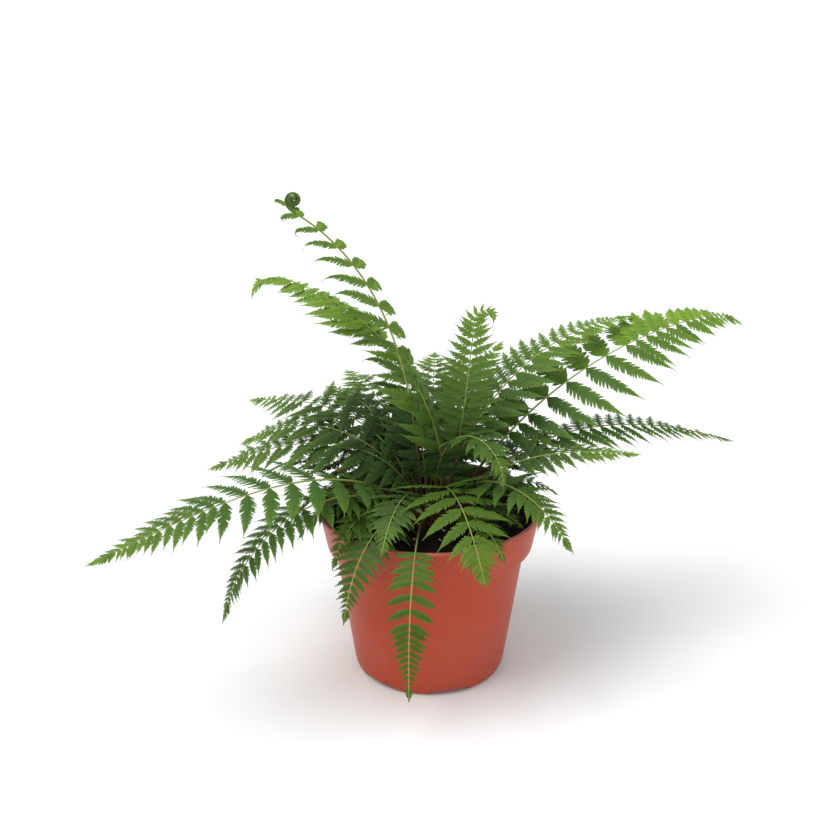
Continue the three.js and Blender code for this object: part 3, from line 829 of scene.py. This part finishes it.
def frond_skeleton(frond, settings, draw):
    """All midribs of one frond, with its pinnae where the frame has them."""
    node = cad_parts["frond_" + frond.name]
    tips = kdtree.KDTree(len(node.data.vertices))
    for i, vertex in enumerate(node.data.vertices):
        tips.insert(vertex.co, i)
    tips.balance()
    path = stalk_path(frond)
    skeleton = Skeleton()
    base_shade = draw.uniform(0.2, 0.54)
    add_rachis(skeleton, frond, path, base_shade)
    coiled, steep = frond.coiled, BROAD_ROLLS[0] < abs(frond.roll) < BROAD_ROLLS[1]
    for u, firm in pinna_pairs(frond):
        root = on_path(path, frond.leafless + (1 - frond.leafless) * u)
        for hand in (-1, 1):
            raised_side = frond.raised(hand)
            if coiled and raised_side and not firm:
                continue
            full = pinna_length(frond, u)
            length = full * (1.1 if coiled and not raised_side else 1)
            stand = pinna_stand(frond, hand)
            bend = found_bend(tips, root, u, hand, full, stand) if firm else None
            lift, share = bend or (draw.uniform(-8, 8), 0.92)
            length *= share * draw.uniform(0.96, 1.03) * (0.85 if frond.hanging else 1)
            sway, twist = draw.uniform(-3, 3), draw.uniform(-9, 9)
            lift += draw.uniform(-3, 3)
            hook = lerp(*COIL_HOOKS, clamped((u - 0.62) / 0.26)) if coiled else PLAIN_HOOK
            line = pinna_path(root, u, hand, lift, length, stand, sway, hook)
            line = [(v, p, a, twisted(f, a, twist * v)) for v, p, a, f in line]

            # Pinnae are broader on a raised side, and towards the frond's tip.
            broad = raised_side and (coiled or steep)
            slim = BROAD_WIDTH if broad else RAISED_WIDTH if raised_side else FLAT_WIDTH
            if not coiled:
                slim += 0.12 * clamped((u - 0.6) / 0.3)
            width = length * lerp(STUB_WIDTH, slim, clamped((length - 5) / 13))
            blunt = 2.8 if broad else 3.2 if frond.hanging else 2.0
            shade = clamped(base_shade + draw.uniform(-0.12, 0.2))
            fresh = 0.08 + 0.5 * max(0.0, u - 0.45) / 0.55 + 0.3 * clamped((u - 0.75) / 0.15)
            fresh = clamped(fresh + draw.uniform(-0.06, 0.1))
            # Painted light: the broad pinnae of a raised side lose their random darkening and take
            # more of the fresh colour, against the shadow that fronds above cast on them.
            if broad and not coiled:
                shade, fresh = 0.0, clamped(fresh + 0.28)
            add_pinna(skeleton, line, length, width, broad, blunt, settings, shade, fresh)
    return skeleton.mesh("frond_skeleton")


def unit_lobe(hand):
    """One lobe a unit long, rounded and bent towards the pinna's point, as a closed shell.
    Its points carry lobe_place: how far out, how far from the midvein, and how far beneath."""
    shell = bmesh.new()
    layer = shell.verts.layers.float_vector.new("lobe_place")

    def corner(x, middle, across, z, under):
        vertex = shell.verts.new((x, middle + across, z))
        vertex[layer] = (x, across, under)
        return vertex

    rows = ((-0.06, 0.75, 0), (0.36, 0.5, 0.032), (0.7, 0.4, 0.128), (0.93, 0.27, 0.24))
    rings = []
    for x, half, bow in rows:
        arch = 0.035 * (1 - (x - 0.35) ** 2)
        edges = ((half, -0.02, 0.15), (0, arch, 0), (-half, -0.02, 0.15), (0, arch - 0.08, 1))
        rings.append([corner(x, bow * hand, *edge) for edge in edges])
    point = corner(1.0, 0.304 * hand, 0, 0, 0.3)
    for low, high in zip(rings, rings[1:]):
        for k in range(4):
            n = (k + 1) % 4
            shell.faces.new((low[k], low[n], high[n], high[k]))
    for k in range(4):
        shell.faces.new((rings[-1][k], rings[-1][(k + 1) % 4], point))
    shell.faces.new(rings[0])
    bmesh.ops.recalc_face_normals(shell, faces=shell.faces)
    for face in shell.faces:
        face.smooth = True
    for edge in shell.edges:
        edge.smooth = edge.calc_face_angle(0.0) < SHARP_ANGLE
    return bpy.data.objects.new("lobe_left" if hand < 0 else "lobe_right", emptied(shell, "lobe"))


# Trees that make the pieces


def frond_tree():
    """Grows tubes along the midribs, lobes on their points, and hairs on the stalk's foot."""
    lobe = ["Lobe Lean", "Lobe Droop", "Lobe Fullness", "Jitter"]
    graph, given = new_tree(
        "fern_frond",
        Object=["Left Lobe", "Right Lobe"],
        Float=[*lobe, "Hair Length", "Hairs per Square Metre"],
        Int=["Seed"],
        Material=["Leaf", "Stalk", "Hair"],
    )
    points = given["Geometry"]
    along = field(graph, "along", "FLOAT_VECTOR")
    face = field(graph, "face", "FLOAT_VECTOR")
    across = graph.sum("CROSS_PRODUCT", along, face)
    blade = field(graph, "blade")
    gap = field(graph, "gap")
    end = field(graph, "end")
    droop = given["Lobe Droop"] + field(graph, "droop")
    parts = []
    for hand, name, first in ((-1.0, "Left Lobe", 3.0), (1.0, "Right Lobe", 11.0)):
        salt = given["Seed"] + first
        lean = given["Lobe Lean"] + chance(graph, -1.0, 1.0, salt) * given["Jitter"]
        dip = droop + chance(graph, -1.0, 1.0, salt + 5.0) * given["Jitter"]
        level = along * graph.sum("COSINE", lean) + across * (graph.sum("SINE", lean) * hand)
        way = level * graph.sum("COSINE", dip) - face * graph.sum("SINE", dip)
        rise = face * graph.sum("COSINE", dip) + level * graph.sum("SINE", dip)
        size = blade * chance(graph, 0.93, 1.07, salt + 9.0)
        scale = graph.vector(size, gap * given["Lobe Fullness"], size)
        parts.append(placed(graph, points, blade, given[name], way, rise, scale))
    scale = graph.vector(end, gap, end)
    parts.append(placed(graph, points, end, given["Left Lobe"], along, face, scale))
    leaves = graph.node("GeometryNodeJoinGeometry", None, {0: parts})
    ribs = tube(graph, points, "GREATER_EQUAL", 4)
    stalk = tube(graph, points, "LESS_THAN", 8)
    hairs = hair_coat(graph, stalk, given, field(graph, "bark").clear_of(0.35, 0.9))
    finishes = ((leaves, "Leaf"), (ribs, "Leaf"), (stalk, "Stalk"), (hairs, "Hair"))
    return end_tree(graph, [coloured(graph, thing, given[slot]) for thing, slot in finishes])


def placed(graph, points, size, thing, way, rise, scale):
    """A thing on each point whose size isn't nought, turned so that its X goes that way."""
    axes = {"primary_axis": "X", "secondary_axis": "Z"}
    inputs = {"Primary Axis": way, "Secondary Axis": rise}
    turn = graph.node("FunctionNodeAxesToRotation", axes, inputs)
    test = {"operation": "GREATER_THAN"}
    chosen = graph.node("FunctionNodeCompare", test, {"A": size, "B": 1e-5})
    inputs = {"Object": thing, "As Instance": True}
    shape = graph.node("GeometryNodeObjectInfo", None, inputs, "Geometry")
    return copies(graph, points, shape, turn, Selection=chosen, Scale=scale)


def tube(graph, points, operation, sides):
    """Round rods along the midribs of one order, stalk below 0.5 and pinnae above it."""
    inputs = {"A": field(graph, "order"), "B": 0.5}
    chosen = graph.node("FunctionNodeCompare", {"operation": operation}, inputs)
    lines = graph.node("GeometryNodeMeshToCurve", None, {"Mesh": points, "Selection": chosen})
    inputs = {"Resolution": sides, "Radius": 1.0}
    ring = graph.node("GeometryNodeCurvePrimitiveCircle", None, inputs)
    inputs = {"Curve": lines, "Profile Curve": ring, "Scale": field(graph, "thick")}
    return graph.node("GeometryNodeCurveToMesh", None, {**inputs, "Fill Caps": True})


def hair_coat(graph, surface, given, share):
    """Fine tapered hairs standing out of a surface and leaning up, where the share isn't 0."""
    seed = given["Seed"]
    spots = spots_on(graph, surface, given["Hairs per Square Metre"] * share, seed)
    lean = chance(graph, (-0.7, -0.7, -0.1), (0.7, 0.7, 0.9), seed + 2.0)
    inputs = {"Vector": spots.out("Normal") + lean}
    turn = graph.node("FunctionNodeAlignRotationToVector", {"axis": "Z"}, inputs)
    length = given["Hair Length"] * chance(graph, 0.5, 1.2, seed + 4.0)
    return copies(graph, spots, cone(graph, 3, 0.002, 0.022), turn, Scale=length)


def rough_ground_tree():
    """Displaces a mesh's marked top with noise and strews it with crumbs, perlite and fibres."""
    densities = [kind + " per Square Metre" for kind in ("Crumbs", "Perlite", "Fibres")]
    sizes = ["Crumb Size", "Perlite Size", "Fibre Length"]
    graph, given = new_tree(
        "potting_soil",
        Float=["Relief", *densities, *sizes],
        Int=["Seed"],
        Material=["Soil", "Perlite", "Fibre"],
    )
    top = field(graph, "top")
    lumps = graph.noise(graph.node("GeometryNodeInputPosition"), 170.0, 5.0, 0.65)
    lift = graph.vector(z=(lumps - 0.5) * given["Relief"] * top)
    body = moved(graph, given["Geometry"], lift)
    bit = graph.node("GeometryNodeMeshIcoSphere", None, {"Radius": 0.5, "Subdivisions": 1})
    crumb = graph.node("GeometryNodeMeshIcoSphere", None, {"Radius": 0.5, "Subdivisions": 2})
    dent = graph.noise(graph.node("GeometryNodeInputPosition"), 2.3, 1.0, out="Color")
    crumb = moved(graph, crumb, (dent - (0.5, 0.5, 0.5)) * 0.55)
    strand = cone(graph, 4, 0.03, 0.05)
    anyway = (0, 0, 0), (6.28, 6.28, 6.28)
    lying = (1.2, 0, 0), (1.9, 0.2, 6.28)

    # What is strewn, in which material, its salt, its turn, and its least and most size.
    strewn = (
        (bit, "Soil", 21.0, anyway, (0.4, 0.4, 0.3), (1.3, 1.2, 0.9)),
        (crumb, "Perlite", 37.0, anyway, (0.5, 0.5, 0.4), (1.3, 1.2, 1.0)),
        (strand, "Fibre", 53.0, lying, (0.9, 0.9, 0.3), (1.1, 1.1, 1.1)),
    )
    made = [coloured(graph, body, given["Soil"])]
    for density, size, (thing, material, salt, turns, least, most) in zip(densities, sizes, strewn):
        seed = given["Seed"] + salt
        spots = spots_on(graph, body, given[density] * top, seed)
        turn = chance(graph, *turns, seed + 1.0)
        scale = chance(graph, least, most, seed + 2.0) * given[size]
        pieces = copies(graph, spots, thing, turn, Scale=scale)
        made.append(coloured(graph, pieces, given[material]))
    return end_tree(graph, made)


def crown_tree():
    """Roughens the crown and covers its top in long fibres."""
    graph, given = new_tree(
        "fern_crown",
        Float=["Relief", "Hair Length", "Hairs per Square Metre"],
        Int=["Seed"],
        Material=["Crown", "Hair"],
    )
    place = graph.node("GeometryNodeInputPosition")
    lumps = graph.noise(place, 230.0, 4.0)
    normal = graph.node("GeometryNodeInputNormal")
    body = moved(graph, given["Geometry"], normal * ((lumps - 0.5) * given["Relief"]))
    hairs = hair_coat(graph, body, given, graph.parts(place)[2].clear_of(0.084, 0.087))
    finishes = ((body, "Crown"), (hairs, "Hair"))
    return end_tree(graph, [coloured(graph, thing, given[slot]) for thing, slot in finishes])


def drainage_tree():
    """Cuts a ring of notches through the foot of the pot and a ring of holes in its floor."""
    notch = ["Notch Length", "Notch Width", "Notch Height"]
    graph, given = new_tree(
        "pot_drainage",
        Int=["Notches"],
        Float=["First Notch", *notch, "Notch Ring", "Hole Radius", "Hole Ring"],
        Material=["Plastic"],
    )
    length, width, height = (given[name] for name in notch)
    size = graph.vector(length, width, height * 2.0)
    block = graph.node("GeometryNodeMeshCube", None, {"Size": size}, "Mesh")
    inputs = {"Vertices": 32, "Radius": given["Hole Radius"], "Depth": 0.012}
    drill = graph.node("GeometryNodeMeshCylinder", None, inputs, "Mesh")
    turn = graph.vector(z=given["First Notch"])
    cutters = []
    for thing, ring in ((block, "Notch Ring"), (drill, "Hole Ring")):
        inputs = {"Vertices": given["Notches"], "Radius": given[ring]}
        spots = graph.node("GeometryNodeMeshCircle", None, inputs)
        inputs = {"Geometry": spots, "Rotation": turn}
        spots = graph.node("GeometryNodeTransform", None, inputs)
        out = {"Vector": graph.node("GeometryNodeInputPosition")}
        facing = graph.node("FunctionNodeAlignRotationToVector", {"axis": "X"}, out)
        cutter = {"Geometry": copies(graph, spots, thing, facing)}
        cutters.append(graph.node("GeometryNodeRealizeInstances", None, cutter))
    how = {"operation": "DIFFERENCE", "solver": "EXACT"}
    inputs = {"Mesh 1": given["Geometry"], "Mesh 2": cutters}
    cut = graph.node("GeometryNodeMeshBoolean", how, inputs)
    cut = graph.node("GeometryNodeRealizeInstances", None, {"Geometry": cut})
    inputs = {"Geometry": cut, "Material": given["Plastic"]}
    return end_tree(graph, [graph.node("GeometryNodeSetMaterial", None, inputs)])


# Settings that a user may change


def length_setting(name, description, default):
    return FloatProperty(name=name, description=description, default=default, unit="LENGTH")


def angle_setting(name, description, degrees):
    default = math.radians(degrees)
    return FloatProperty(name=name, description=description, default=default, subtype="ANGLE")


def share_setting(name, description, default):
    return FloatProperty(name=name, description=description, default=default, subtype="FACTOR")


def colour_setting(name, description, code):
    default = paint(code)
    return FloatVectorProperty(
        name=name, description=description, default=default, subtype="COLOR"
    )


class PotSettings(bpy.types.PropertyGroup):
    height: length_setting("Height", "Foot to rim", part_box("pot")[1][2])
    colour: colour_setting("Colour", "Plastic of the pot", "#b33d1b")
    dirt_colour: colour_setting("Dirt", "Specks of soil on the plastic", "#4a2f22")
    roughness: share_setting("Roughness", "Roughness of clean plastic", 0.36)


class SoilSettings(bpy.types.PropertyGroup):
    relief: length_setting("Relief", "Height of the lumps", 0.0022)
    crumb_size: length_setting("Crumbs", "Size of the crumbs", 0.0017)
    perlite_size: length_setting("Perlite", "Size of the white grains", 0.0019)
    fibre_length: length_setting("Fibres", "Length of the bark fibres", 0.006)


class CrownSettings(bpy.types.PropertyGroup):
    hair_length: length_setting("Fibre length", "Length of the crown's fibres", 0.0055)
    colour: colour_setting("Colour", "Fibres of the crown", "#6b4423")


class FrondSettings(bpy.types.PropertyGroup):
    rib_radius: length_setting("Rib radius", "Radius of a pinna's midrib at its root", 0.00023)
    lobe_lean: angle_setting("Lobe lean", "Angle between a lobe and its midrib", 57)
    lobe_droop: angle_setting("Lobe droop", "How far lobes hang below the midrib", 10)
    lobe_fullness: share_setting("Lobe fullness", "Width of a lobe as a share of its space", 0.95)
    jitter: angle_setting("Unevenness", "Random turn of each lobe", 6)
    bright: colour_setting("Bright", "Young fronds in the light", "#557b1e")
    green: colour_setting("Green", "Grown fronds", "#3f661f")
    deep: colour_setting("Deep", "Old and shaded fronds", "#33521f")
    fresh: colour_setting("Fresh", "New growth at the tips", "#86ac32")
    hair_length: length_setting("Hair length", "Hairs at the foot of a stalk", 0.0022)
    seed: IntProperty(name="Seed", description="Seed of all random draws", default=7)


class StageSettings(bpy.types.PropertyGroup):
    lens: FloatProperty(name="Lens", description="Focal length in millimetres", default=60.0)
    distance: length_setting("Distance", "Camera to the middle of the plant", 0.732)
    elevation: angle_setting("Elevation", "Camera above the horizon", 21.35)


# Operators, one for each piece or group of like pieces


def keep(obj, *nodes, slot):
    """Hangs a finished piece under the root body and hides the frame's parts that it takes the
    place of.
    """
    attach(obj, "root")
    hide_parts(*nodes)


class FERN_OT_pot(bpy.types.Operator):
    """Turn the pot, cut its drainage and give it its plastic"""

    bl_idname = "fern.make_pot"
    bl_label = "Make the pot"

    def execute(self, context):
        settings = context.scene.fern_pot
        top = settings.height / MM
        collar = top - 21
        bead = top - 2.5
        wall = 1.4
        outside = (
            (0, 0, 0),
            (12, 0, 0.5),
            (13.2, 3, 0.5),
            (29.3, 3, 0.5),
            (30.5, 0, 0.5),
            (36.6, 0, 0.6),
            (40.3, 0.9, 3),
            (41.3, 5.4, 3),
            (51.3, collar, 0.5),
            (55.2, collar, 0.7),
            (59, bead, 0.3),
            (60, bead + 0.3, 0.4),
            (60, top, 0.8),
        )
        inside = (
            (57.8, top, 0.5),
            (59 - wall, bead, 0.6),
            (55.3 - wall, collar + wall, 0.8),
            (51.4 - wall, collar + wall, 0.6),
            (41.5 - wall, 7, 2),
            (36.8, 4.4, 1.2),
            (0, 4.4, 0),
        )
        values = {
            "Notches": 6,
            "First Notch": math.radians(-75),
            "Notch Length": 0.02,
            "Notch Width": 0.021,
            "Notch Height": 0.003,
            "Notch Ring": 0.0385,
            "Hole Radius": 0.004,
            "Hole Ring": 0.021,
            "Plastic": pot_finish(settings),
        }
        body = turned("pot", filleted(outside + inside), 160)
        pot = grown("pot_shell", body, drainage_tree(), values)
        pot.data.shade_smooth()
        pot.data.set_sharp_from_angle(angle=math.radians(32))
        keep(pot, "pot", slot="pot_plastic")
        return {"FINISHED"}


class FERN_OT_soil(bpy.types.Operator):
    """Fill the pot with rough soil, perlite and bark fibres"""

    bl_idname = "fern.make_soil"
    bl_label = "Make the soil"

    def execute(self, context):
        settings = context.scene.fern_soil
        edge, level, dome, rings = 57.0, 86.0, 0.6, 34
        sides = [(0, 4.9), (36.4, 4.9), (39.6, 7.5), (49.2, 75), (53.4, 75.9), (57.2, 85.4)]
        top = [(edge * (1 - i / rings), level + dome * i / rings) for i in range(rings + 1)]
        body = turned("soil", [(r * MM, z * MM) for r, z in sides + top], 120)
        marks = body.attributes.new("top", "FLOAT", "POINT")
        for vertex in body.vertices:
            inner = vertex.co.xy.length / MM < edge - 0.5
            marks.data[vertex.index].value = float(inner and vertex.co.z > (level - 0.2) * MM)
        values = {
            "Relief": settings.relief,
            "Crumbs per Square Metre": 260000.0,
            "Crumb Size": settings.crumb_size,
            "Perlite per Square Metre": 9000.0,
            "Perlite Size": settings.perlite_size,
            "Fibres per Square Metre": 16000.0,
            "Fibre Length": settings.fibre_length,
            "Seed": 4,
            "Soil": grain_finish("soil", ("#120d0a", "#241a13", "#3d2d20"), 300.0),
            "Perlite": grain_finish("perlite", ("#b9b2a6", "#e6e2da"), 500.0, 0.8),
            "Fibre": grain_finish("bark_fibre", ("#2c1c11", "#5c3d24"), 600.0, 0.85),
        }
        soil = grown("soil_bed", body, rough_ground_tree(), values)
        keep(soil, "potting_soil", slot="soil")
        return {"FINISHED"}


class FERN_OT_crown(bpy.types.Operator):
    """Make the fibrous crown that the stalks grow from"""

    bl_idname = "fern.make_crown"
    bl_label = "Make the crown"

    def execute(self, context):
        settings = context.scene.fern_crown
        base = ((0, 80.2, 0), (15, 80.2, 1), (16.2, 84.5, 3))
        top = ((14.5, 88.2, 3), (6, 90.4, 4), (0, 90.6, 0))
        values = {
            "Relief": 0.0016,
            "Hair Length": settings.hair_length,
            "Hairs per Square Metre": 1400000.0,
            "Seed": 9,
            "Crown": grain_finish("crown_core", ("#21140b", "#3f2815", "#5b3b20"), 350.0),
            "Hair": hair_finish("crown_fibre", tuple(settings.colour)),
        }
        body = turned("crown", filleted(base + top, 6), 64)
        crown = grown("crown_fibres", body, crown_tree(), values)
        keep(crown, "crown", slot="crown_fibre")
        return {"FINISHED"}


class FERN_OT_fronds(bpy.types.Operator):
    """Grow every frond: stalk, midribs, lobes and hairs"""

    bl_idname = "fern.make_fronds"
    bl_label = "Make the fronds"

    def execute(self, context):
        settings = context.scene.fern_fronds
        tree = frond_tree()
        leaves = {
            tone: leaf_finish("leaf_" + tone, tuple(getattr(settings, tone)), tuple(settings.fresh))
            for tone in ("bright", "green", "deep")
        }
        values = {
            "Left Lobe": unit_lobe(-1),
            "Right Lobe": unit_lobe(1),
            "Lobe Lean": settings.lobe_lean,
            "Lobe Droop": settings.lobe_droop,
            "Lobe Fullness": settings.lobe_fullness,
            "Jitter": settings.jitter,
            "Hair Length": settings.hair_length,
            "Hairs per Square Metre": 500000.0,
            "Stalk": stalk_finish("stalk_skin", *map(paint, ("#8a9a40", "#5a3c22", "#2f4a1a"))),
            "Hair": hair_finish("stalk_hair", paint("#7a5a34")),
        }
        for number, frond in enumerate(FRONDS):
            values["Seed"] = settings.seed + 20 * number
            values["Leaf"] = leaves[frond.tone]
            skeleton = frond_skeleton(frond, settings, random.Random(settings.seed + number))
            piece = grown("leaves_" + frond.name, skeleton, tree, values)
            keep(piece, "frond_" + frond.name, slot="leaf_" + frond.tone)
        return {"FINISHED"}


class FERN_OT_stage(bpy.types.Operator):
    """Lay the pale floor and set the soft lights and the camera"""

    bl_idname = "fern.make_stage"
    bl_label = "Make the stage"

    def execute(self, context):
        scene = context.scene
        disc = bmesh.new()
        bmesh.ops.create_circle(disc, cap_ends=True, segments=96, radius=12.0)
        floor = bpy.data.objects.new("floor", emptied(disc, "floor"))
        material, graph = new_material("floor_paper")
        tint = graph.mix(paint("#f6f8f7"), paint("#fafbfa"), mottle(graph, 3.0))
        finish_shader(graph, Base_Color=tint, Roughness=0.9, Specular_IOR_Level=0.1)
        floor.data.materials.append(material)
        scene.collection.objects.link(floor)
        scene.world = bpy.data.worlds.new("studio")
        scene.world.use_nodes = True
        sky = scene.world.node_tree.nodes["Background"]
        sky.inputs["Color"].default_value = (0.955, 0.985, 1.0, 1.0)
        sky.inputs["Strength"].default_value = 0.62
        self.sun(scene, "key", (-0.62, -0.28, 1.15), 2.0, 40.0)
        self.sun(scene, "fill", (0.5, -0.9, 0.9), 0.35, 90.0)
        self.camera(scene, scene.fern_stage, Vector((-5.3, 0.0, 142.2)) * MM)
        scene.view_settings.view_transform = "Standard"
        return {"FINISHED"}

    def sun(self, scene, name, at, strength, softness):
        """A soft light from that direction, with its softness in degrees."""
        light = bpy.data.lights.new(name, "SUN")
        light.energy = strength
        light.angle = math.radians(softness)
        obj = bpy.data.objects.new(name, light)
        obj.location = at
        obj.rotation_euler = Vector(at).to_track_quat("Z", "Y").to_euler()
        scene.collection.objects.link(obj)

    def camera(self, scene, settings, target):
        """The camera, in front of the target and above it."""
        camera = bpy.data.objects.new("camera", bpy.data.cameras.new("camera"))
        camera.data.lens = settings.lens
        camera.data.sensor_width = 36.0
        camera.data.clip_start = 0.01
        up = settings.elevation
        back = Vector((0, -math.cos(up), math.sin(up)))
        camera.location = target + back * settings.distance
        camera.rotation_euler = back.to_track_quat("Z", "Y").to_euler()
        scene.collection.objects.link(camera)
        scene.camera = camera


# Each step is the operator fern.make_NAME with the settings in scene.fern_NAME.
STEPS = {
    "stage": (FERN_OT_stage, StageSettings),
    "pot": (FERN_OT_pot, PotSettings),
    "soil": (FERN_OT_soil, SoilSettings),
    "crown": (FERN_OT_crown, CrownSettings),
    "fronds": (FERN_OT_fronds, FrondSettings),
}


class FERN_PT_panel(bpy.types.Panel):
    """Lists the pieces and their settings"""

    bl_idname = "FERN_PT_panel"
    bl_label = "Potted fern"
    bl_space_type = "VIEW_3D"
    bl_region_type = "UI"
    bl_category = "Potted fern"

    def draw(self, context):
        for name, (_, group) in STEPS.items():
            box = self.layout.box()
            box.operator("fern.make_" + name)
            for key in group.__annotations__:
                box.prop(getattr(context.scene, "fern_" + name), key)


def register():
    for name, (operator, group) in STEPS.items():
        bpy.utils.register_class(group)
        bpy.utils.register_class(operator)
        setattr(bpy.types.Scene, "fern_" + name, PointerProperty(type=group))
    bpy.utils.register_class(FERN_PT_panel)


def unregister():
    bpy.utils.unregister_class(FERN_PT_panel)
    for name, (operator, group) in reversed(STEPS.items()):
        delattr(bpy.types.Scene, "fern_" + name)
        bpy.utils.unregister_class(operator)
        bpy.utils.unregister_class(group)


def main():
    register()
    for name in STEPS:
        getattr(bpy.ops.fern, "make_" + name)()


if __name__ == "__main__":
    main()
